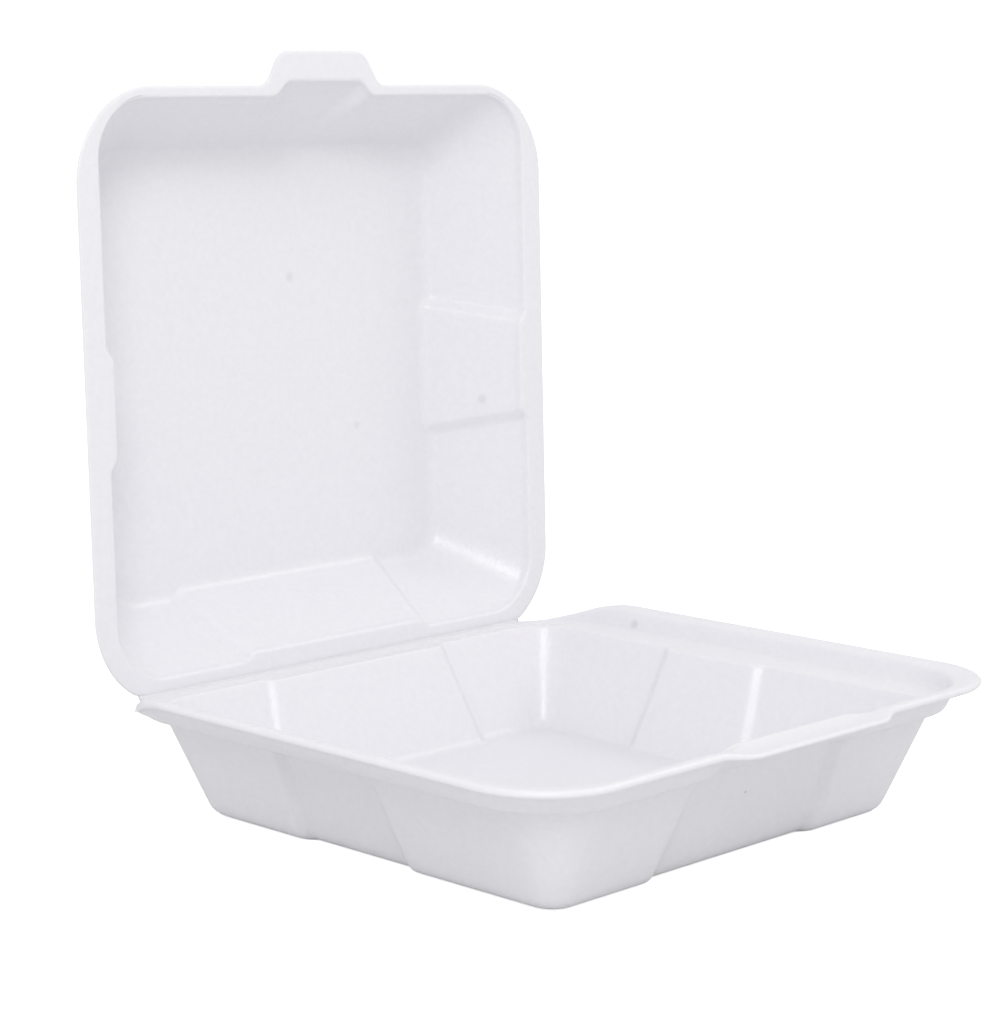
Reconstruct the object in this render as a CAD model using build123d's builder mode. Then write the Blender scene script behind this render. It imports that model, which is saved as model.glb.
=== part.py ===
"""Foam clamshell container: a square tray and its hinged lid, each a formed shell of foam sheet.

Millimetres. X runs along the hinge, +Y from the front to the hinge, Z up, origin at the centre of
the tray's underside. The lid is drawn shut, then swung open to the photographed pose.
"""

import os
from math import copysign, cos, radians, sin, tan

from build123d import *

os.makedirs("parts", exist_ok=True)

# Foam sheet
SHEET = 2.5
FLANGE_SHEET = 2.4

# Hinge line between tray and lid; the tray's shelf lies just below it
HINGE_Y = 105.0
HINGE_Z = 39.3
HINGE_GAP = 0.15
SEAT_GAP = 0.3
REST_ANGLE = 91.7

# Tray: half sizes of its opening at shelf height, and its walls
TRAY_OPEN_X = 98.0
TRAY_OPEN_Y = 96.0
TRAY_DRAFT = 23.0
TRAY_CORNER_R = 15.0

# Lid: flange outline, opening at the flange, and walls; runs are measured from the hinge
LID_LENGTH = 209.0
LID_HALF_W = 110.5
LID_CORNER_R = 33.8
LID_BACK_RUN = -5.1
LID_OPEN_X = 102.1
LID_OPEN_RUNS = (4.5, 205.0)
LID_OPEN_R = 24.5
LID_DRAFT = 30.5
LID_DEPTH = 34.0

# Rounding between walls and floor or panel
OUTER_EDGE_R = 5.0
INNER_EDGE_R = 2.8

# Middle of each wall stands in by a step: (width at rim, width at far end, shift), in turn from the +X wall
STEP_DEPTH = 3.0
STEP_SLOPE = 45.0
STEP_REACH = 7.0
STEP_MARGIN = 2 * STEP_REACH
TRAY_STEPS = ((45.0, 58.0, 6.0), (80.0, 94.0, 0.0), (45.0, 58.0, -6.0), (72.0, 84.0, 0.0))
LID_STEPS = ((39.0, 53.0, 5.5), (84.0, 100.0, 0.0), (39.0, 53.0, -5.5))

# Lip round the tray's shelf, outside the shut lid's flange; it fades out towards the hinge
LID_CLEARANCE = 0.6
LIP_RISE = 4.5
LIP_SPREAD = 2.4
LIP_BACK_SET = 1.4
TIP_RISE = 7.8
TIP_SHEET = 1.6
TIP_HALF_W = 120.8
TIP_FRONT = 113.2
TIP_BACK = 107.2
TIP_R = 38.9
TIP_LAND = 1.0
LIP_FADE = (68.0, 96.0)

# Middle of the tray's front rim: a low apron below the lid's tab, and a bead for the lid's pocket
APRON_HALF_W = 38.0
APRON_LINE = ((102.0, 0.0), (108.4, 0.0), (112.5, 2.6), (116.5, 3.8))
BEAD_FOOT = (43.0, 6.8)
BEAD_TOP = (34.0, 2.6)
BEAD_RISE = 6.2
BEAD_FRONT = 103.5

# Pocket in the lid's front wall: (height above the flange, half width, back, front)
POCKET_LEVELS = ((0.0, 22.4, 88.0, 105.2), (9.0, 20.0, 84.0, 102.8), (18.0, 15.0, 76.0, 90.2))
POCKET_R = 4.0

# Tab on the lid's front edge
TAB_TILT = 18.0
TAB_ROOT_HALF_W = 27.0
TAB_END_HALF_W = 19.5
TAB_LENGTH = 14.5
TAB_R = 5.0

SHELF_TOP = HINGE_Z - SEAT_GAP
SHELF_UNDER = SHELF_TOP - FLANGE_SHEET
STEP_SPREAD = SHEET * tan(radians(STEP_SLOPE) / 2)
FAR = 200.0
OVERCUT = 1.0

# A formed shell's walls: half sizes of its opening, their middle in Y, rim height, draft, corner radius
TRAY_WALLS = ((TRAY_OPEN_X, TRAY_OPEN_Y), 0, SHELF_TOP, TRAY_DRAFT, TRAY_CORNER_R)
LID_WALLS = (
    (LID_OPEN_X, (LID_OPEN_RUNS[1] - LID_OPEN_RUNS[0]) / 2),
    HINGE_Y - sum(LID_OPEN_RUNS) / 2, HINGE_Z, -LID_DRAFT, LID_OPEN_R,
)


def plan(half_w, front, back, corner, z):
    """Rounded rectangle at height z, from y = -front to y = +back."""
    with BuildSketch(Plane.XY.offset(z)) as outline:
        with Locations((0, (back - front) / 2)):
            RectangleRounded(2 * half_w, front + back, corner)
    return outline.sketch


def through(*sections):
    """Straight-sided solid through outlines at rising heights."""
    with BuildPart() as body:
        for low, high in zip(sections, sections[1:]):
            loft([low, high], ruled=True)
    return body.part


def basin(walls, low, high, grow, edge_r):
    """Body with leaning flat walls between two heights, rounded at its corners and round its closed end."""
    (half_x, half_y), middle, rim, draft, corner = walls
    lean = radians(draft)
    wide, narrow = (high, low) if draft > 0 else (low, high)
    reach = grow + (wide - rim) * tan(lean)
    with BuildPart() as body:
        with BuildSketch():
            Rectangle(2 * (half_x + reach), 2 * (half_y + reach))
        extrude(amount=high - low, taper=abs(draft))
        fillet(body.edges().filter_by(lambda e: abs((e @ 1 - e @ 0).Z) > 1), corner + grow * cos(lean))
        fillet(body.faces().sort_by(Axis.Z)[-1].edges(), edge_r)
    return Plane((0, middle, wide), x_dir=(1, 0, 0), z_dir=(0, 0, narrow - wide)).location * body.part


def step_cutter(walls, inset, side, step, end, grow, spread):
    """What one wall loses where its middle stands in to the inset body, between sloped step faces."""
    halves, middle, rim, draft, _ = walls
    at_rim, at_end, shift = step
    lean = radians(draft)
    length = abs(end) / cos(lean)
    flare = (at_end - at_rim) / 2 / length
    wide = at_rim / 2 + spread + STEP_REACH * tan(radians(STEP_SLOPE))
    near = wide - flare * STEP_MARGIN
    far = wide + flare * (length + STEP_MARGIN)
    with BuildPart() as wedge:
        with BuildSketch():
            with BuildLine():
                Polyline(
                    (shift - near, -STEP_MARGIN), (shift + near, -STEP_MARGIN),
                    (shift + far, length + STEP_MARGIN), (shift - far, length + STEP_MARGIN), close=True,
                )
            make_face()
        extrude(amount=2 * STEP_REACH, taper=STEP_SLOPE)
    wall = Plane(
        (halves[side % 2] + grow, 0, rim),
        x_dir=(0, copysign(1, draft), 0), z_dir=(-cos(lean), 0, sin(lean)),
    )
    with BuildPart() as cutter:
        add(Pos(0, middle, 0) * (wall.offset(-STEP_REACH).location * wedge.part).rotate(Axis.Z, 90 * side))
        add(inset, mode=Mode.SUBTRACT)
    return cutter.part


def stepped(walls, low, high, grow, edge_r, steps, spread):
    """Body with leaning walls that stand in by the step depth over the middle of each side."""
    inset = basin(walls, low, high, grow - STEP_DEPTH, edge_r)
    end = (low if walls[3] > 0 else high) - walls[2]
    with BuildPart() as body:
        add(basin(walls, low, high, grow, edge_r))
        for side, step in enumerate(steps):
            add(step_cutter(walls, inset, side, step, end, grow, spread), mode=Mode.SUBTRACT)
    return body.part


def behind_hinge():
    """Everything past the hinge line."""
    with BuildPart() as body:
        with Locations((0, HINGE_Y - HINGE_GAP, 0)):
            Box(2 * FAR, FAR, 2 * FAR, align=(Align.CENTER, Align.MIN, Align.CENTER))
    return body.part


def profile(points, half_length):
    """Profile in the YZ plane, extruded both ways along X."""
    with BuildPart() as body:
        with BuildSketch(Plane.YZ):
            with BuildLine():
                Polyline(*points, close=True)
            make_face()
        extrude(amount=half_length, both=True)
    return body.part


def lip_inside():
    """Space above the shelf and inside the raised lip."""
    front = LID_LENGTH - HINGE_Y + LID_CLEARANCE
    back = HINGE_Y - LID_BACK_RUN + LID_CLEARANCE
    side = LID_HALF_W + LID_CLEARANCE
    corner = LID_CORNER_R + LID_CLEARANCE
    land = TIP_LAND
    return through(
        plan(side, front, back, corner, SHELF_TOP),
        plan(side + LIP_SPREAD, front + LIP_SPREAD, back, corner + LIP_SPREAD, SHELF_TOP + LIP_RISE),
        plan(TIP_HALF_W - land, TIP_FRONT - land, TIP_BACK - land, TIP_R - land, SHELF_TOP + TIP_RISE),
    )


def lip_outside():
    """Solid out to the underside of the shelf and lip."""
    front = LID_LENGTH - HINGE_Y + LID_CLEARANCE + LIP_BACK_SET
    back = HINGE_Y - LID_BACK_RUN
    side = LID_HALF_W + LID_CLEARANCE + LIP_BACK_SET
    corner = LID_CORNER_R + LID_CLEARANCE + LIP_BACK_SET
    return through(
        plan(side, front, back, corner, SHELF_UNDER),
        plan(side + LIP_SPREAD, front + LIP_SPREAD, back, corner + LIP_SPREAD, SHELF_UNDER + LIP_RISE),
        plan(TIP_HALF_W, TIP_FRONT, TIP_BACK, TIP_R, SHELF_TOP + TIP_RISE - TIP_SHEET),
        plan(TIP_HALF_W, TIP_FRONT, TIP_BACK, TIP_R, SHELF_TOP + TIP_RISE),
    )


def bead():
    """Bead on the shelf at the middle of the front."""
    centre = (0, BEAD_FOOT[1] / 2 - BEAD_FRONT)
    with BuildPart() as body:
        with BuildSketch(Plane.XY.offset(SHELF_TOP)):
            with Locations(centre):
                RectangleRounded(*BEAD_FOOT, BEAD_FOOT[1] * 0.4)
        with BuildSketch(Plane.XY.offset(SHELF_TOP + BEAD_RISE)):
            with Locations(centre):
                RectangleRounded(*BEAD_TOP, BEAD_TOP[1] * 0.4)
        loft(ruled=True)
    return body.part


def build_tray():
    """Tray: walls and floor, shelf, raised lip, and the bead and apron at the middle of its front."""
    wall = SHEET / cos(radians(TRAY_DRAFT))
    tip = SHELF_TOP + TIP_RISE
    top = [(-run, SHELF_TOP + rise) for run, rise in APRON_LINE]
    under = [(-run, SHELF_UNDER + rise) for run, rise in reversed(APRON_LINE)]
    over = [(-FAR, top[-1][1]), (-FAR, FAR), (top[0][0], FAR)]
    fade = [(LIP_FADE[0], tip), (LIP_FADE[1], SHELF_TOP), (FAR, SHELF_TOP), (FAR, FAR), (LIP_FADE[0], FAR)]
    with BuildPart() as tray:
        add(stepped(TRAY_WALLS, 0, SHELF_UNDER + OVERCUT, wall, OUTER_EDGE_R, TRAY_STEPS, 0))
        add(lip_outside())
        add(lip_inside(), mode=Mode.SUBTRACT)
        add(profile(fade, FAR), mode=Mode.SUBTRACT)
        add(profile(top + over, APRON_HALF_W), mode=Mode.SUBTRACT)
        add(profile(top + under, APRON_HALF_W))
        add(bead())
        add(
            stepped(TRAY_WALLS, SHEET, SHELF_TOP + OVERCUT, 0, INNER_EDGE_R, TRAY_STEPS, STEP_SPREAD),
            mode=Mode.SUBTRACT,
        )
        add(behind_hinge(), mode=Mode.SUBTRACT)
    return tray.part


def pocket(grow, floor):
    """Bulge of the lid's front wall that takes the tray's bead."""
    levels = [
        plan(half_w + grow, front + grow, -back, POCKET_R + grow, HINGE_Z + (rise or floor))
        for rise, half_w, back, front in POCKET_LEVELS
    ]
    return through(*levels)


def tab():
    """Lifting tab, leaning away from the tray's rim."""
    lean = radians(TAB_TILT)
    base = Plane(origin=(0, HINGE_Y - LID_LENGTH, HINGE_Z), x_dir=(1, 0, 0), z_dir=(0, sin(lean), cos(lean)))
    with BuildPart() as body:
        with BuildSketch(base) as outline:
            with BuildLine():
                Polyline(
                    (-TAB_ROOT_HALF_W, 0), (TAB_ROOT_HALF_W, 0),
                    (TAB_END_HALF_W, -TAB_LENGTH), (-TAB_END_HALF_W, -TAB_LENGTH), close=True,
                )
            make_face()
        extrude(amount=FLANGE_SHEET)
        fillet(body.edges().filter_by(lambda e: e.length < FLANGE_SHEET + 0.1).group_by(Axis.Y)[0], TAB_R)
    return body.part


def build_lid():
    """Lid, drawn shut over the tray: flange, walls and panel, pocket and tab."""
    wall = SHEET / cos(radians(LID_DRAFT))
    panel = HINGE_Z + LID_DEPTH
    with BuildPart() as lid:
        add(plan(LID_HALF_W, LID_LENGTH - HINGE_Y, HINGE_Y - LID_BACK_RUN, LID_CORNER_R, HINGE_Z))
        extrude(amount=FLANGE_SHEET)
        add(stepped(LID_WALLS, HINGE_Z, panel + SHEET, wall, OUTER_EDGE_R, LID_STEPS, 0))
        add(pocket(FLANGE_SHEET, 0))
        add(tab())
        add(
            stepped(LID_WALLS, HINGE_Z - OVERCUT, panel, 0, INNER_EDGE_R, LID_STEPS, STEP_SPREAD),
            mode=Mode.SUBTRACT,
        )
        add(pocket(0, -OVERCUT), mode=Mode.SUBTRACT)
        add(behind_hinge(), mode=Mode.SUBTRACT)
    return lid.part


hinge = Axis((0, HINGE_Y, HINGE_Z), (-1, 0, 0))

base_tray = build_tray()
base_tray.label = "base_tray"
lid = build_lid().rotate(hinge, REST_ANGLE)
lid.label = "lid"

for piece in (base_tray, lid):
    export_step(piece, f"parts/{piece.label}.step")
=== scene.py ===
"""Foam clamshell container: the tray and lid as formed foam sheet, with its stage and camera.

Run as a script. Lengths in the shape functions are millimetres in the CAD's own frame: X along the
hinge, +Y from the front to the hinge, Z up. Meshes are written in metres.
"""

from math import cos, radians, sin, tan

import bpy
import numpy as np
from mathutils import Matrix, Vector


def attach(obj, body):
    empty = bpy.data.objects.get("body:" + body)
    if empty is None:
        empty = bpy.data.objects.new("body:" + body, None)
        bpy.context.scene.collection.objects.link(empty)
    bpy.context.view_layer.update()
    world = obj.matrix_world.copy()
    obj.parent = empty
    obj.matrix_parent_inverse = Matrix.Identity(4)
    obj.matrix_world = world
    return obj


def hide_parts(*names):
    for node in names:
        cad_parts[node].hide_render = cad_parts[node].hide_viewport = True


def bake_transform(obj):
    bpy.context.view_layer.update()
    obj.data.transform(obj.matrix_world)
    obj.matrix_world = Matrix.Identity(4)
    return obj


bl_info = {
    "name": "Foam clamshell container",
    "version": (1, 0, 0),
    "blender": (4, 5, 0),
    "location": "View3D > Sidebar > Foam container",
    "description": "Builds a hinged foam food container and its stage",
    "category": "Add Mesh",
}

MM = 0.001
HINGE_Y = 105.0
HINGE_Z = 39.3
# Rows end this far past the hinge line's limit, over a short rounding
CLIP_ROOM = 0.45
CLIP_SOFT = 0.25
# A ramp turns by about 45 degrees, so on the inner face it starts this share of the sheet further out
RAMP_SHARE = tan(radians(22.5))
# Columns thicken near each step from this far beside it
STEP_SIDE = 10.0
# Columns: over each corner, and over each side's seven gaps between the knots of side_knots
CORNER_COLUMNS = 22
LONG_SIDE = (8, 5, 7, 26, 7, 5, 8)
SHORT_SIDE = (8, 5, 7, 18, 7, 5, 8)

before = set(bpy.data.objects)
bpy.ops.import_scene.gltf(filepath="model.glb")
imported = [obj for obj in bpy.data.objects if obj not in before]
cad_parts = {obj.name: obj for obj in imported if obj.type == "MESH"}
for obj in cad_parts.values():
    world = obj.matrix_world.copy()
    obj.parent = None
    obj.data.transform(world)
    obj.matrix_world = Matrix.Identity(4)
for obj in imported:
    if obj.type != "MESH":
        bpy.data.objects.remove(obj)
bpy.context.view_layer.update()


# ---------------------------------------------------------------------------------- sizes and colours


class FOAM_PG_sizes(bpy.types.PropertyGroup):
    """Sizes of the formed foam sheet, in millimetres."""

    sheet: bpy.props.FloatProperty(
        name="Sheet thickness", description="Thickness of the formed foam sheet in mm", default=2.45, min=1.0
    )
    crease: bpy.props.FloatProperty(
        name="Crease thickness", description="Thickness of the pressed sheet at the hinge in mm", default=1.1
    )
    stand: bpy.props.FloatProperty(
        name="Step depth", description="How far the middle of each wall stands in, in mm", default=3.0
    )
    ramp: bpy.props.FloatProperty(
        name="Step ramp", description="Width of the slope at each end of a step in mm", default=5.3
    )
    lid_angle: bpy.props.FloatProperty(
        name="Lid angle", description="How far the lid stands open at rest", default=radians(91.7), subtype="ANGLE"
    )
    tab_tilt: bpy.props.FloatProperty(
        name="Tab tilt", description="Lean of the lifting tab out of the flange", default=radians(2), subtype="ANGLE"
    )


class FOAM_PG_finish(bpy.types.PropertyGroup):
    """Colours and grain of the foam and the stage."""

    foam: bpy.props.StringProperty(
        name="Foam colour", description="Colour of the foam's skin as an sRGB hex value", default="F1F0F4"
    )
    cell: bpy.props.StringProperty(
        name="Cell colour", description="Colour between the foam's cells as an sRGB hex value", default="EAE9EE"
    )
    # Also the colour of the painted shade in the skin's shallow dimples
    fleck_and_dimple_shade: bpy.props.StringProperty(
        name="Fleck colour", description="Colour of the small flecks as an sRGB hex value", default="A9A8AC"
    )
    grain: bpy.props.FloatProperty(
        name="Grain", description="Size of one cell of the pebbled skin in mm", default=1.1, min=0.1
    )
    floor: bpy.props.StringProperty(
        name="Floor colour", description="Colour of the floor as an sRGB hex value", default="E8E8E8"
    )


# ------------------------------------------------------------------------------------- shape functions


def smooth(t):
    """Smooth step from 0 at t = 0 to 1 at t = 1."""
    t = np.clip(t, 0, 1)
    return t * t * (3 - 2 * t)


def rounded(points, cuts, runs, arc=6):
    """Polyline whose inner corners are quadratic curves between points `cut` before and after each.

    Rows hold reach and height, then any values that change evenly along the line; run i is
    divided into runs[i] pieces and each corner into `arc` pieces.
    """
    p = np.array(points, float)
    step = np.diff(p, axis=0)
    unit = step / np.maximum(np.linalg.norm(step[:, :2], axis=1), 1e-9)[:, None]
    cut = np.array([0, *cuts, 0])[:, None]
    starts = p[:-1] + unit * cut[:-1]
    ends = p[1:] - unit * cut[1:]
    t = np.linspace(0, 1, arc + 1)[1:-1, None]
    rows = []
    for i, n in enumerate(runs):
        rows.append(starts[i] + (ends[i] - starts[i]) * np.linspace(0, 1, n + 1)[:, None])
        if i + 1 < len(runs):
            rows.append((1 - t) ** 2 * ends[i] + 2 * t * (1 - t) * p[i + 1] + t * t * starts[i + 1])
    return np.concatenate(rows)


def parallel(points, gap, side):
    """Polyline at a distance from another, and each corner's move along the mean of its runs' normals.

    The first point stays in the middle.
    """
    p = np.array(points, float)
    step = np.diff(p[:, :2], axis=0)
    unit = step / np.linalg.norm(step, axis=1)[:, None]
    normal = side * np.stack([unit[:, 1], -unit[:, 0]], 1)
    before = np.vstack([normal[:1], normal])
    after = np.vstack([normal, normal[-1:]])
    move = (before + after) / (1 + (before * after).sum(1))[:, None] * np.reshape(gap, (-1, 1))
    move[0, 0] = 0
    p[:, :2] += move
    return p, move


def sheet_section(inner, outer, cuts, back_cuts, runs, edge=6):
    """Closed section of a sheet: out along its inner face, round its edge, and back along its outer face.

    The edge is a half circle between the two faces' ends, bulging along the last run.
    """
    there = rounded(inner, cuts, runs)
    back = rounded(outer, back_cuts, runs)
    a = np.linspace(0, np.pi, edge + 2)[1:-1, None]
    middle = (there[-1] + back[-1]) / 2
    half = (there[-1] - back[-1]) / 2
    on = there[-1, :2] - there[-2, :2]
    out = np.zeros_like(half)
    out[:2] = on / np.linalg.norm(on) * np.linalg.norm(half[:2])
    turn = middle + half * np.cos(a) + out * np.sin(a)
    return np.concatenate([there, turn, back[::-1]])


def side_knots(start, end, shift, inner, outer):
    """Where a side's columns are spaced from: its ends, a point near each step, and both ends of each ramp."""
    near = np.minimum(STEP_SIDE, (shift - outer - start) / 2)
    far = np.minimum(STEP_SIDE, (end - shift - outer) / 2)
    ramps = [shift - outer, shift - inner, shift + inner, shift + outer]
    return np.stack([start, ramps[0] - near, *ramps, ramps[-1] + far, end], 1)


def spaced(knots, counts):
    """Positions between knots, each gap divided evenly, and how far each column stands in.

    Gaps 2 and 4 are the step's ramps and gap 3 its middle.
    """
    gap = np.repeat(np.arange(len(counts)), counts)
    part = np.concatenate([np.arange(n) / n for n in counts])
    at = knots[:, gap] * (1 - part) + knots[:, gap + 1] * part
    stand = np.select([gap == 2, gap == 3, gap == 4], [smooth(part), 1.0, smooth(1 - part)], 0.0)
    return at, np.broadcast_to(stand, at.shape)


def step_sizes(table, high, section, foot, sizes):
    """Shift, inner and outer half width of each side's step at each row.

    A step goes from its rim width to its far width with `high`, and all of it shrinks to nothing
    between the foot's reach and the middle.
    """
    small = np.minimum(section[:, 0] / foot, 1.0)
    inside = np.arange(len(section)) < len(section) // 2
    spread = np.where(inside, sizes.sheet * RAMP_SHARE, 0)
    steps = []
    for shift, rim, far in table:
        outer = (rim + (far - rim) * high + spread) * small
        steps.append((shift * small, np.maximum(outer - sizes.ramp * small, 0), outer))
    return steps


def add_object(name, data):
    """Object of a mesh, lamp or camera, linked to the scene."""
    obj = bpy.data.objects.new(name, data)
    bpy.context.scene.collection.objects.link(obj)
    return obj


def closed_mesh(name, points, flip=False):
    """Mesh of a grid whose columns close round and whose first and last rows meet in a single point each."""
    rows, cols, _ = points.shape
    body = points[1:-1].reshape(-1, 3)
    verts = np.vstack([body, points[0, :1], points[-1, :1]]) * MM
    n = rows - 2
    i, j = np.meshgrid(np.arange(n - 1), np.arange(cols), indexing="ij")
    k = (j + 1) % cols
    quads = np.stack([i * cols + j, i * cols + k, (i + 1) * cols + k, (i + 1) * cols + j], -1).reshape(-1, 4)
    j = np.arange(cols)
    k = (j + 1) % cols
    first, last = n * cols, n * cols + 1
    top = np.stack([np.full(cols, first), k, j], 1)
    bottom = np.stack([np.full(cols, last), (n - 1) * cols + j, (n - 1) * cols + k], 1)
    if flip:
        quads, top, bottom = quads[:, ::-1], top[:, ::-1], bottom[:, ::-1]
    faces = quads.tolist() + top.tolist() + bottom.tolist()
    mesh = bpy.data.meshes.new(name)
    mesh.from_pydata(verts.tolist(), [], faces)
    mesh.polygons.foreach_set("use_smooth", np.ones(len(faces), bool))
    mesh.validate()
    mesh.update()
    return add_object(name, mesh)


def ring(section, front, back, steps, counts, stand_depth):
    """Grid of one loop per section row round a rounded rectangle, and what its columns are.

    A row's loop has half width section[:, 0], reaches front[:, 0] and back[:, 0], and corner radius
    section[:, 2]; heights go from one side's section to the next over each corner. Between its
    ramps each side stands in by the row's step weight, section[:, 3].
    """
    x, zx, r, weight = section[:, :1], section[:, 1:2], section[:, 2:3], section[:, 3:4]
    f, zf = front[:, :1], front[:, 1:2]
    b, zb = back[:, :1], back[:, 1:2]
    depth = stand_depth * weight
    pieces = []
    angle = np.linspace(0, np.pi / 2, CORNER_COLUMNS + 1)[:-1]
    turn = smooth(angle / (np.pi / 2))

    def side(index, start, end):
        shift, inner, outer = steps[index]
        at, stand = spaced(side_knots(start, end, shift, inner, outer), counts[index])
        return at, stand * depth

    at, stand = side(0, -(x - r)[:, 0], (x - r)[:, 0])
    pieces.append((at, -f + stand, np.broadcast_to(zf, at.shape)))
    pieces.append((x - r + r * np.sin(angle), -f + r - r * np.cos(angle), zf + (zx - zf) * turn))
    at, stand = side(1, -(f - r)[:, 0], (b - r)[:, 0])
    pieces.append((x - stand, at, np.broadcast_to(zx, at.shape)))
    pieces.append((x - r + r * np.cos(angle), b - r + r * np.sin(angle), zx + (zb - zx) * turn))
    at, stand = side(2, -(x - r)[:, 0], (x - r)[:, 0])
    pieces.append((-at, b - stand, np.broadcast_to(zb, at.shape)))
    pieces.append((-x + r - r * np.sin(angle), b - r + r * np.cos(angle), zb + (zx - zb) * turn))
    at, stand = side(3, -(b - r)[:, 0], (f - r)[:, 0])
    pieces.append((-x + stand, -at, np.broadcast_to(zx, at.shape)))
    pieces.append((-x + r - r * np.cos(angle), -f + r - r * np.sin(angle), zx + (zf - zx) * turn))
    return [np.concatenate([np.broadcast_to(p[i], (len(x), p[0].shape[1])) for p in pieces], 1) for i in range(3)]


def soft_min(value, limit, width):
    """The lesser of value and limit, rounded over a width where they meet."""
    gap = (limit - value) / width
    return limit - width * np.logaddexp(0, gap)


# ------------------------------------------------------------------------------------------ the tray

# Rows of the tray's tables, out from its middle: middle, foot, wall top, four on the shelf, riser root,
# riser top, lip's end. SIDE, FRONT, BACK and APRON are how far each row reaches there.
TRAY_Z = 39.0
TRAY_FLOOR = 2.5
TRAY_SIDE = [0, 82.5, 98, 100.0, 102.2, 104.4, 106.6, 109.2, 110.8, 115.7]
TRAY_FRONT = [0, 80.5, 96, 97.3, 98.7, 100.1, 101.5, 103.2, 104.8, 109.7]
TRAY_BACK = [0, 80.5, 96, 97.6, 99.2, 100.8, 102.2, 106.0, 107.0, 107.6]
TRAY_APRON = [0, 80.5, 96, 97.2, 98.4, 99.6, 100.9, 102.9, 107.6, 114.9]
TRAY_HEIGHT = [TRAY_FLOOR, TRAY_FLOOR, TRAY_Z, TRAY_Z, 39.2, 39.5, 39.9, 40.5, 46.6, 47.5]
TRAY_BACK_HEIGHT = [TRAY_FLOOR, TRAY_FLOOR, TRAY_Z, 38.5, 37.9, 37.8, 38.2, TRAY_Z, TRAY_Z, TRAY_Z]
TRAY_APRON_HEIGHT = [TRAY_FLOOR, TRAY_FLOOR, TRAY_Z, TRAY_Z, 39.2, 39.5, 40.0, 47.4, 45.6, 46.2]
# Heights that the under face is drawn one sheet below: it cuts the riser's corner
TRAY_UNDER = [TRAY_FLOOR, TRAY_FLOOR, TRAY_Z, TRAY_Z, TRAY_Z, TRAY_Z, 39.6, 42.6, 46.6, 47.5]
TRAY_APRON_UNDER = [TRAY_FLOOR, TRAY_FLOOR, TRAY_Z, TRAY_Z, TRAY_Z, 39.4, 41.0, 45.6, 45.6, 46.2]
TRAY_FLAT = [TRAY_FLOOR, TRAY_FLOOR] + [TRAY_Z] * 8
TRAY_RADIUS = [0, 6, 18, 19.5, 22.0, 25.0, 28.5, 32.0, 31.5, 29.3]
TRAY_STAND = [0, 1, 1, 0.8, 0.6, 0.4, 0.2, 0, 0, 0]
TRAY_APRON_HALF = [34, 34, 34, 34, 34, 34, 34, 34, 37, 38]
# How far each row may reach towards the hinge
TRAY_CLIP = [100, 100, 101.5, 101.8, 102.1, 102.4, 102.7, 103.3, 103.9, 104.4]
# Pieces of each run between rows, and how far each inner corner's rounding reaches
TRAY_RUNS = [26, 14, 2, 2, 2, 2, 4, 3, 6]
TRAY_CUTS = [3.3, 1.4, 0.3, 0.3, 0.3, 0.3, 1.6, 1.6]
TRAY_UNDER_CUTS = [4.9, 1.0, 0.3, 0.3, 0.3, 1.2, 1.5, 0.5]
TRAY_APRON_CUTS = [3.3, 1.1, 0.3, 0.3, 0.3, 0.7, 2.0, 2.6]
TRAY_BACK_CUTS = [3.3, 0.7, 0.5, 0.5, 0.5, 0.5, 0.8, 0.2]
TRAY_BACK_UNDER_CUTS = [4.9, 0.3, 0.3, 0.3, 0.3, 0.3, 0.6, 0.2]
TRAY_COLUMNS = [(8, 6, 7, 34, 7, 6, 8), SHORT_SIDE, LONG_SIDE, SHORT_SIDE]
# Front, right, back and left step: shift of its middle, half width at the rim, half width at the foot
TRAY_STEPS = [(2.0, 38.0, 43.0), (7.0, 23.5, 28.0), (1.2, 43.7, 51.0), (-7.0, 23.5, 28.0)]
SHELF_END, RISER_ROOT = 6, 7
# The apron blends into the front over FADE, and its middle moves to +X over the first RUN past the shelf
APRON_FADE = 13.0
APRON_SHIFT = 5.0
APRON_SHIFT_RUN = 2.0
# Where along Y the lip sinks to the shelf and where it narrows, and the power of each
LIP_SINK = (66.0, 102.0, 1.5)
LIP_NARROW = (62.0, 92.0, 1.6)
LIP_LEAST = 0.15
LIP_EDGE_ROWS = 7
ROUND_OFF = 0.01


def tray_sections(sheet, crease):
    """The tray's closed sections over its sides, front, back and apron.

    Each is a list of rows: reach, height, corner radius, step weight, height once the lip has sunk,
    apron half width, limit towards the hinge.
    """

    def section(reach, height, under, cuts, under_cuts, thick):
        inner = np.stack([reach, height, TRAY_RADIUS, TRAY_STAND, TRAY_FLAT, TRAY_APRON_HALF, TRAY_CLIP], 1)
        level = inner.copy()
        level[:, 1] = under
        outer, move = parallel(level, thick, 1)
        outer[:, 2] += move[:, 0]
        outer[:, 4] -= sheet
        outer[:3, 4] = outer[:3, 1]
        return sheet_section(inner, outer, cuts, under_cuts, TRAY_RUNS)

    # Thickness at each row: the lip's end is rolled, the apron's is thinner, the back runs into the crease
    even = np.array([sheet] * 8 + [2.4, 2.7])
    edged = np.array([sheet] * 8 + [2.0, 1.7])
    thin = np.array([sheet] * 6 + [sheet * 0.9, crease * 1.3, crease, crease])
    return (
        section(TRAY_SIDE, TRAY_HEIGHT, TRAY_UNDER, TRAY_CUTS, TRAY_UNDER_CUTS, even),
        section(TRAY_FRONT, TRAY_HEIGHT, TRAY_UNDER, TRAY_CUTS, TRAY_UNDER_CUTS, even),
        section(TRAY_BACK, TRAY_BACK_HEIGHT, TRAY_FLAT, TRAY_BACK_CUTS, TRAY_BACK_UNDER_CUTS, thin),
        section(TRAY_APRON, TRAY_APRON_HEIGHT, TRAY_APRON_UNDER, TRAY_APRON_CUTS, TRAY_UNDER_CUTS, edged),
    )


def faded(y, start, end, power):
    """0 in front of start, then ((y - start) / (end - start)) ** power, and 1 behind end."""
    return np.clip((y - start) / (end - start), 0, 1) ** power


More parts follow.
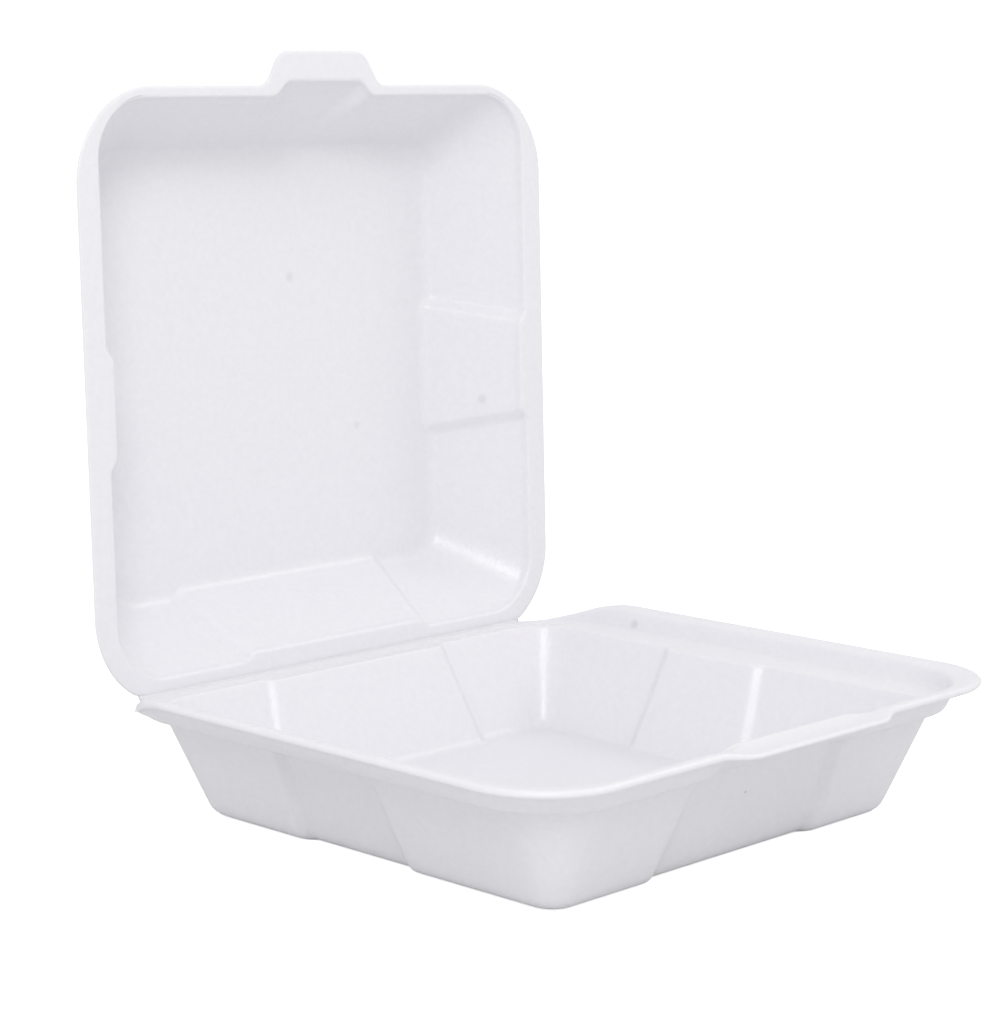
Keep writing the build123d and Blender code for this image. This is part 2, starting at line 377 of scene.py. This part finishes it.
def tray_surface(sizes):
    """Points of the tray's whole skin on a grid of (row of the section, place round the rim).

    Each row is a rounded rectangle. Towards the hinge the lip sinks to the shelf's level and draws in
    to the riser's root, the front's middle blends to the apron's section across a smooth width, and
    rows stop at the hinge line.
    """
    side, front, back, apron = tray_sections(sizes.sheet, sizes.crease)
    rows = len(side)
    high = np.clip((TRAY_Z - side[:, 1]) / (TRAY_Z - TRAY_FLOOR), 0, 1)
    steps = step_sizes(TRAY_STEPS, high, side, TRAY_SIDE[1], sizes)
    x, y, z = ring(side, front, back, steps, TRAY_COLUMNS, sizes.stand)

    lip = side[:, 0:1] > TRAY_SIDE[SHELF_END]
    z = np.where(lip, z + (side[:, 4:5] - z) * faded(y, *LIP_SINK), z)

    # Past the riser's root, rows draw in to the root's row on their own face; round the edge, to a blend
    root = np.argmin(np.abs(side[: rows // 2, 0] - TRAY_SIDE[RISER_ROOT]))
    row = np.arange(rows)[:, None]
    past = (row >= root) & (row < rows - root)
    inner_share = (1 + np.cos(np.pi * np.clip((row - rows / 2) / LIP_EDGE_ROWS + 0.5, 0, 1))) / 2
    drawn = past * (y > 0) * np.minimum(faded(y, *LIP_NARROW), 1 - LIP_LEAST)
    for axis in (x, y):
        base = axis[root] * inner_share + axis[rows - 1 - root] * (1 - inner_share)
        axis += (base - axis) * drawn

    # The front's straight run, stepped in or not
    at_front = (y < 0) & (np.abs(x) < side[:, 0:1] - side[:, 2:3])
    at_front &= -y > front[:, 0:1] - sizes.stand - ROUND_OFF
    shift = APRON_SHIFT * np.clip((front[:, 0:1] - TRAY_FRONT[SHELF_END]) / APRON_SHIFT_RUN, 0, 1)
    near = smooth((side[:, 5:6] + APRON_FADE / 2 - np.abs(x - shift)) / APRON_FADE) * at_front
    y -= (apron[:, 0:1] - front[:, 0:1]) * near
    z += (apron[:, 1:2] - front[:, 1:2]) * near

    y = soft_min(y, side[:, 6:7] + CLIP_ROOM, CLIP_SOFT)
    return np.stack([x, y, z], -1)


# ------------------------------------------------------------------------------------------- the lid

# Rows of the lid's tables, drawn as when it is shut: middle, panel edge, two on the wall, opening, flange
# middle, flange edge. SIDE, FRONT and BACK are how far each row reaches there, HEIGHT is above the hinge.
LID_DEPTH = 34.0
LID_SIDE = [0, 80.9, 91.2, 101.2, 101.9, 105.3, 110.6]
LID_FRONT = [0, 81.6, 90.6, 99.2, 99.9, 101.2, 102.9]
LID_BACK = [0, 80.4, 90.2, 99.6, 100.3, 103.6, 108.9]
LID_HEIGHT = [LID_DEPTH, LID_DEPTH, 18, 2.8, 0, 0, 0]
LID_RADIUS = [0, 13.5, 17.5, 20.5, 21, 26, 33.1]
LID_STAND = [0, 1, 1, 1, 1, 0.5, 0]
LID_POCKET = [0, 0, 2.0, 5.0, 5.4, 3.0, 0]
LID_POCKET_HALF = [13, 13, 16.5, 20.5, 20.5, 20.0, 20.0]
LID_CLIP = [100, 100, 102, 102.4, 102.6, 103.5, 104.4]
LID_TAB = [0, 0, 0, 0, 0, 0.3, 1.0]
# Pieces of each run between rows, and how far each inner corner's rounding reaches
LID_RUNS = [26, 8, 8, 3, 4, 6]
LID_CUTS = [3.3, 1.5, 0.8, 1.1, 0.3]
LID_FRONT_CUTS = [3.3, 1.5, 1.0, 0.9, 0.3]
# How much further the outer face's rounding reaches, as a share of the sheet, and its least reach
LID_OUTER_SHARE = [0.62, 0, 0, -0.62, 0]
LID_LEAST_CUT = 0.4
LID_COLUMNS = [(8, 4, 14, 30, 14, 4, 8), SHORT_SIDE, LONG_SIDE, SHORT_SIDE]
# Right, back and left step: shift of its middle, half width at the rim, half width at the panel
LID_STEPS = [(5.0, 20.5, 27.0), (0.0, 45.0, 52.0), (-5.0, 20.5, 27.0)]
POCKET_MIDDLE = 0.8
POCKET_FADE = 8.0
# The tab's half widths, its length, and how far the flange's edge beside it moves with it
TAB_ROOT = 27.0
TAB_END = 20.0
TAB_LENGTH = 12.3
TAB_SIDE = 8.0
TAB_CUTS = (3.5, 4.5, 4.5, 3.5)
TAB_RUNS = (2, 6, 22, 6, 2)
# The flange's dense columns end this far inside the tab's end, and the outline takes PAD more on each side
TAB_INSET = 2.0
TAB_PAD = 4
# How far out of the flange's edge the tab turns up, and over what length
TAB_FOLD = 1.5
TAB_FOLD_SOFT = 0.8


def lid_sections(sheet, crease):
    """The lid's closed sections over its sides, front and back.

    Each is a list of rows: reach, height, corner radius, step weight, pocket depth, pocket half width,
    height of the inner face, limit towards the hinge, share of the tab.
    """

    def section(reach, thick, cuts):
        inner = np.stack(
            [reach, LID_HEIGHT, LID_RADIUS, LID_STAND, LID_POCKET, LID_POCKET_HALF, LID_HEIGHT, LID_CLIP, LID_TAB], 1
        )
        outer, move = parallel(inner, thick, -1)
        outer[:, 2] += move[:, 0]
        outer_cuts = np.maximum(cuts + sheet * np.array(LID_OUTER_SHARE), LID_LEAST_CUT)
        return sheet_section(inner, outer, cuts, outer_cuts, LID_RUNS)

    # Thickness at each row: the flange thins to its edge, and the back runs into the crease
    edged = np.array([sheet] * 4 + [2.3, 1.7, 1.3])
    thin = np.array([sheet] * 5 + [crease * 1.5, crease])
    return (
        section(LID_SIDE, edged, LID_CUTS),
        section(LID_FRONT, edged, LID_FRONT_CUTS),
        section(LID_BACK, thin, LID_CUTS),
    )


def tab_outline(columns):
    """X of evenly spaced points on the tab's outline, and how far each is out of the flange's edge."""
    beside = TAB_ROOT + TAB_SIDE
    right = [(TAB_END, TAB_LENGTH), (TAB_ROOT, 0), (beside, 0)]
    left = [(-x, out) for x, out in reversed(right)]
    outline = rounded(left + right, TAB_CUTS, TAB_RUNS)
    measure = np.r_[0, np.cumsum(np.linalg.norm(np.diff(outline, axis=0), axis=1))]
    along = np.linspace(0, measure[-1], columns)
    return [np.interp(along, measure, outline[:, i]) for i in range(2)]


def lid_surface(sizes):
    """Points of the lid's whole skin, shut, on a grid of (row of the section, place round the rim).

    The front wall bulges outwards over the pocket, and the flange's rows stretch to the tab's
    outline and turn up by the tab's tilt past its fold.
    """
    side, front, back = lid_sections(sizes.sheet, sizes.crease)
    high = np.clip(side[:, 6] / LID_DEPTH, 0, 1)
    small = np.minimum(side[:, 0] / LID_SIDE[1], 1.0)
    tab_step = (0 * small, (TAB_END - TAB_INSET) * small, TAB_ROOT * small)
    steps = [tab_step, *step_sizes(LID_STEPS, high, side, LID_SIDE[1], sizes)]
    x, y, z = ring(side, front, back, steps, LID_COLUMNS, sizes.stand)

    # The front has no step, only the pocket
    front_cols = sum(LID_COLUMNS[0])
    y[:, :front_cols] = -front[:, 0:1]
    near = smooth((side[:, 5:6] + POCKET_FADE / 2 - np.abs(x - POCKET_MIDDLE)) / POCKET_FADE)
    y[:, :front_cols] -= (side[:, 4:5] * near)[:, :front_cols]

    start = sum(LID_COLUMNS[0][:2]) - TAB_PAD
    cols = sum(LID_COLUMNS[0][2:5]) + 2 * TAB_PAD + 1
    tab = slice(start, start + cols)
    edge_x, edge_out = tab_outline(cols)
    share = side[:, 8:9]
    out = edge_out * share
    past = (out - TAB_FOLD) / TAB_FOLD_SOFT
    run = np.logaddexp(0, past) * TAB_FOLD_SOFT
    tilt = sizes.tab_tilt
    lean = tilt / (1 + np.exp(-past))
    height = z[:, tab].copy()
    x[:, tab] += (edge_x - x[:, tab]) * share
    y[:, tab] += np.where(out > 0, (1 - cos(tilt)) * run + height * np.sin(lean), 0) - out
    z[:, tab] = np.where(out > 0, height * np.cos(lean) + sin(tilt) * run, height)

    y = soft_min(y, side[:, 7:8] + CLIP_ROOM, CLIP_SOFT)
    return np.stack([x, y, z], -1)


# Middle line of the pressed crease at rest, in Y and Z: from the tray's shelf, round the hinge, up the lid
CREASE_LINE = ((103.2, 38.3), (105.9, 37.6), (105.7, 41.2))
CREASE_HALF_LENGTH = 94.0
CREASE_COLUMNS = 95
CREASE_PLACES = 17


def crease_surface(sizes):
    """Thin bent strip along the hinge: an oval section about a quadratic curve, carried along X.

    Places are (station along X, place round the section); both ends close in a point.
    """
    a, b, c = (np.array(p) for p in CREASE_LINE)
    t = np.linspace(0, 1, CREASE_PLACES)[:, None]
    line = (1 - t) ** 2 * a + 2 * t * (1 - t) * b + t * t * c
    along = np.gradient(line, axis=0)
    along /= np.linalg.norm(along, axis=1)[:, None]
    across = np.stack([-along[:, 1], along[:, 0]], 1)
    half = sizes.crease / 2 * np.sqrt(np.clip(1 - (2 * t - 1) ** 6, 0.01, 1))
    loop = np.concatenate([line + across * half, (line - across * half)[::-1]])
    x = np.linspace(-CREASE_HALF_LENGTH, CREASE_HALF_LENGTH, CREASE_COLUMNS)
    points = np.empty((len(x) + 2, len(loop), 3))
    points[1:-1, :, 0] = x[:, None]
    points[1:-1, :, 1:] = loop
    for row, end in ((0, x[0]), (-1, x[-1])):
        points[row] = (end, *line[CREASE_PLACES // 2])
    return points


def opened(points, angle):
    """Turns points drawn over the shut tray about the hinge line to the open lid's place."""
    run = HINGE_Y - points[..., 1]
    out = points[..., 2]
    y = HINGE_Y - run * cos(angle) + out * sin(angle)
    z = HINGE_Z + run * sin(angle) + out * cos(angle)
    return np.stack([points[..., 0], y, z], -1)


# ---------------------------------------------------------------------------------------- materials


def linear(hex_value):
    """Linear RGBA of an sRGB hex colour."""
    parts = [int(hex_value[i : i + 2], 16) / 255 for i in (0, 2, 4)]
    return [*(p / 12.92 if p <= 0.04045 else ((p + 0.055) / 1.055) ** 2.4 for p in parts), 1.0]


def node(tree, kind, settings=(), links=()):
    """Adds a node, sets its properties and sockets, and links its inputs from other nodes' outputs."""
    made = tree.nodes.new(kind)
    for key, value in dict(settings).items():
        if isinstance(key, str) and hasattr(made, key):
            setattr(made, key, value)
        else:
            made.inputs[key].default_value = value
    for key, (source, socket) in dict(links).items():
        tree.links.new(source.outputs[socket], made.inputs[key])
    return made


# Small dark flecks on the skin, and the painted shade of shallow dimples in it: place in mm, radius in mm and strength
FLECKS_AND_DIMPLE_SHADE = (
    (10.2, 143.0, 176.8, 2.6, 0.13), (90.7, 121.6, 125.7, 2.6, 0.18), (42.0, 141.2, 118.2, 2.0, 0.12),
    (-2.2, -89.4, 24.6, 0.8, 0.55), (-92.8, 44.3, 18.1, 0.6, 0.45), (110.0, 57.5, 41.6, 2.8, 0.25),
)
MARK_CORE = 0.3


def moulded_foam(finish):
    """Thermoformed polystyrene foam: a satin skin of pressed cells, pebbled about a millimetre apart."""
    material = bpy.data.materials.new("moulded_polystyrene_foam")
    material.use_nodes = True
    tree = material.node_tree
    tree.nodes.clear()
    place = node(tree, "ShaderNodeTexCoord")
    per_metre = 1000 / finish.grain
    cells = node(
        tree, "ShaderNodeTexVoronoi", {"feature": "SMOOTH_F1", "Scale": per_metre, "Smoothness": 0.6},
        {"Vector": (place, "Object")},
    )
    cloud = node(tree, "ShaderNodeTexNoise", {"Scale": per_metre * 0.45, "Detail": 3.0}, {"Vector": (place, "Object")})
    patch = node(tree, "ShaderNodeTexNoise", {"Scale": 18.0, "Detail": 2.0}, {"Vector": (place, "Object")})
    relief = node(tree, "ShaderNodeMath", {"operation": "ADD"}, {0: (cells, "Distance"), 1: (cloud, "Fac")})
    tone = node(
        tree, "ShaderNodeMix", {"data_type": "RGBA", 6: linear(finish.foam), 7: linear(finish.cell)},
        {0: (cloud, "Fac")},
    )
    # Each listed mark darkens the tone round its place towards the grey mark colour: the flecks are dark specks on the
    # skin, the dimples are painted shade
    for x, y, z, radius, strength in FLECKS_AND_DIMPLE_SHADE:
        away = node(
            tree, "ShaderNodeVectorMath", {"operation": "DISTANCE", 1: (x * MM, y * MM, z * MM)}, {0: (place, "Object")}
        )
        core = MARK_CORE * radius * MM
        spot = node(
            tree, "ShaderNodeMapRange",
            {"interpolation_type": "SMOOTHSTEP", "From Min": radius * MM, "From Max": core, "To Max": strength},
            {"Value": (away, "Value")},
        )
        tone = node(
            tree, "ShaderNodeMix", {"data_type": "RGBA", 7: linear(finish.fleck_and_dimple_shade)},
            {0: (spot, "Result"), 6: (tone, 2)},
        )
    rough = node(
        tree, "ShaderNodeMapRange",
        {"interpolation_type": "SMOOTHSTEP", "From Min": 0.2, "From Max": 0.8, "To Min": 0.28, "To Max": 0.36},
        {"Value": (patch, "Fac")},
    )
    bump = node(tree, "ShaderNodeBump", {"Strength": 0.16, "Distance": 0.0003}, {"Height": (relief, "Value")})
    shader = node(
        tree, "ShaderNodeBsdfPrincipled",
        {"IOR": 1.5, "Subsurface Weight": 0.25, "Subsurface Scale": 0.004, "Subsurface Radius": (1.0, 1.0, 1.0)},
        {"Base Color": (tone, 2), "Roughness": (rough, "Result"), "Normal": (bump, "Normal")},
    )
    node(tree, "ShaderNodeOutputMaterial", {}, {"Surface": (shader, "BSDF")})
    return material


def pale_floor(finish):
    """Matt white paper sweep: the camera sees it lit evenly, and it keeps the container's shadow."""
    material = bpy.data.materials.new("white_paper_sweep")
    material.use_nodes = True
    tree = material.node_tree
    tree.nodes.clear()
    path = node(tree, "ShaderNodeLightPath")
    matt = node(tree, "ShaderNodeBsdfDiffuse", {"Color": linear(finish.floor)})
    glow = node(tree, "ShaderNodeEmission", {"Color": (1, 1, 1, 1), "Strength": 0.75})
    both = node(tree, "ShaderNodeAddShader", {}, {0: (matt, 0), 1: (glow, 0)})
    shown = node(tree, "ShaderNodeMixShader", {}, {0: (path, "Is Camera Ray"), 1: (matt, 0), 2: (both, 0)})
    node(tree, "ShaderNodeOutputMaterial", {}, {"Surface": (shown, 0)})
    return material


# ---------------------------------------------------------------------------------------- operators


class FOAM_OT_tray(bpy.types.Operator):
    """Builds the tray's formed shell in place of the CAD tray."""

    bl_idname = "foam.tray"
    bl_label = "Tray shell"

    def execute(self, context):
        scene = context.scene
        shell = closed_mesh("tray_shell", tray_surface(scene.foam_sizes))
        shell.data.materials.append(moulded_foam(scene.foam_finish))
        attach(shell, "tray")
        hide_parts("base_tray")
        return {"FINISHED"}


class FOAM_OT_lid(bpy.types.Operator):
    """Builds the lid's formed shell, standing open, in place of the CAD lid."""

    bl_idname = "foam.lid"
    bl_label = "Lid shell"

    def execute(self, context):
        scene = context.scene
        points = opened(lid_surface(scene.foam_sizes), scene.foam_sizes.lid_angle)
        shell = closed_mesh("lid_shell", points, flip=True)
        shell.data.materials.append(moulded_foam(scene.foam_finish))
        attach(shell, "cover")
        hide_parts("lid")
        return {"FINISHED"}


class FOAM_OT_crease(bpy.types.Operator):
    """Builds the pressed crease that joins the tray to the lid."""

    bl_idname = "foam.crease"
    bl_label = "Hinge crease"

    def execute(self, context):
        scene = context.scene
        strip = closed_mesh("hinge_crease", crease_surface(scene.foam_sizes))
        strip.data.materials.append(moulded_foam(scene.foam_finish))
        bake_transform(strip)
        return {"FINISHED"}


# Lamps: name, place, size in metres and power in watts, all turned to one point
LAMPS = (
    ("lamp_near_camera", (-0.97, -0.87, 0.99), 0.4, 6.0),
    ("lamp_right", (0.96, -0.56, 1.12), 0.45, 2.0),
)
LAMP_AIM = (0, 0.05, 0.1)
FLOOR_HALF = 12.0
CAMERA_PLACE = (-0.6598, -0.6234, 0.2526)
CAMERA_FORWARD = (0.70492, 0.69121, -0.15912)
CAMERA_LENS = 95.88


def facing(direction):
    """Turn that points a lamp or a camera along a direction."""
    return Vector(direction).to_track_quat("-Z", "Y").to_euler()


def square_sheet(name, half):
    """Square sheet at floor level."""
    mesh = bpy.data.meshes.new(name)
    mesh.from_pydata([(-half, -half, 0), (half, -half, 0), (half, half, 0), (-half, half, 0)], [], [(0, 1, 2, 3)])
    return add_object(name, mesh)


def area_light(name, place, size, power):
    """Square soft light at a place, turned to the point that all lamps face."""
    data = bpy.data.lights.new(name, "AREA")
    data.shape = "SQUARE"
    data.size = size
    data.energy = power
    lamp = add_object(name, data)
    lamp.location = place
    lamp.rotation_euler = facing(Vector(LAMP_AIM) - Vector(place))


def studio_world():
    """World that the camera sees as plain white, and that lights the container a little less."""
    world = bpy.data.worlds.new("studio")
    world.use_nodes = True
    tree = world.node_tree
    tree.nodes.clear()
    path = node(tree, "ShaderNodeLightPath")
    soft = node(tree, "ShaderNodeBackground", {"Color": (1, 1, 1, 1), "Strength": 0.80})
    white = node(tree, "ShaderNodeBackground", {"Color": (1, 1, 1, 1), "Strength": 1.0})
    both = node(tree, "ShaderNodeMixShader", {}, {0: (path, "Is Camera Ray"), 1: (soft, 0), 2: (white, 0)})
    node(tree, "ShaderNodeOutputWorld", {}, {"Surface": (both, 0)})
    return world


def photo_camera():
    """Camera at the photographed angle."""
    data = bpy.data.cameras.new("camera")
    data.lens = CAMERA_LENS
    data.sensor_width = 36.0
    data.clip_start, data.clip_end = 0.01, 100.0
    camera = add_object("camera", data)
    camera.location = CAMERA_PLACE
    camera.rotation_euler = facing(Vector(CAMERA_FORWARD).normalized())
    return camera


class FOAM_OT_stage(bpy.types.Operator):
    """Adds the floor, the world, two lamps and the camera at the photographed angle."""

    bl_idname = "foam.stage"
    bl_label = "Stage"

    def execute(self, context):
        scene = context.scene
        scene.view_settings.view_transform = "Standard"
        floor = square_sheet("floor", FLOOR_HALF)
        floor.data.materials.append(pale_floor(scene.foam_finish))
        scene.world = studio_world()
        for lamp in LAMPS:
            area_light(*lamp)
        scene.camera = photo_camera()
        return {"FINISHED"}


class FOAM_PT_panel(bpy.types.Panel):
    """Lists the container's sizes, finish and building steps."""

    bl_idname = "FOAM_PT_panel"
    bl_label = "Foam container"
    bl_space_type = "VIEW_3D"
    bl_region_type = "UI"
    bl_category = "Foam container"

    def draw(self, context):
        scene = context.scene
        for group in (scene.foam_sizes, scene.foam_finish):
            for name in group.__annotations__:
                self.layout.prop(group, name)
        for step in STEPS:
            self.layout.operator(step.bl_idname)


STEPS = (FOAM_OT_tray, FOAM_OT_lid, FOAM_OT_crease, FOAM_OT_stage)
CLASSES = (FOAM_PG_sizes, FOAM_PG_finish, *STEPS, FOAM_PT_panel)


def register():
    for cls in CLASSES:
        bpy.utils.register_class(cls)
    bpy.types.Scene.foam_sizes = bpy.props.PointerProperty(type=FOAM_PG_sizes)
    bpy.types.Scene.foam_finish = bpy.props.PointerProperty(type=FOAM_PG_finish)


def unregister():
    del bpy.types.Scene.foam_finish
    del bpy.types.Scene.foam_sizes
    for cls in reversed(CLASSES):
        bpy.utils.unregister_class(cls)


def main():
    register()
    bpy.ops.foam.tray()
    bpy.ops.foam.lid()
    bpy.ops.foam.crease()
    bpy.ops.foam.stage()


if __name__ == "__main__":
    main()
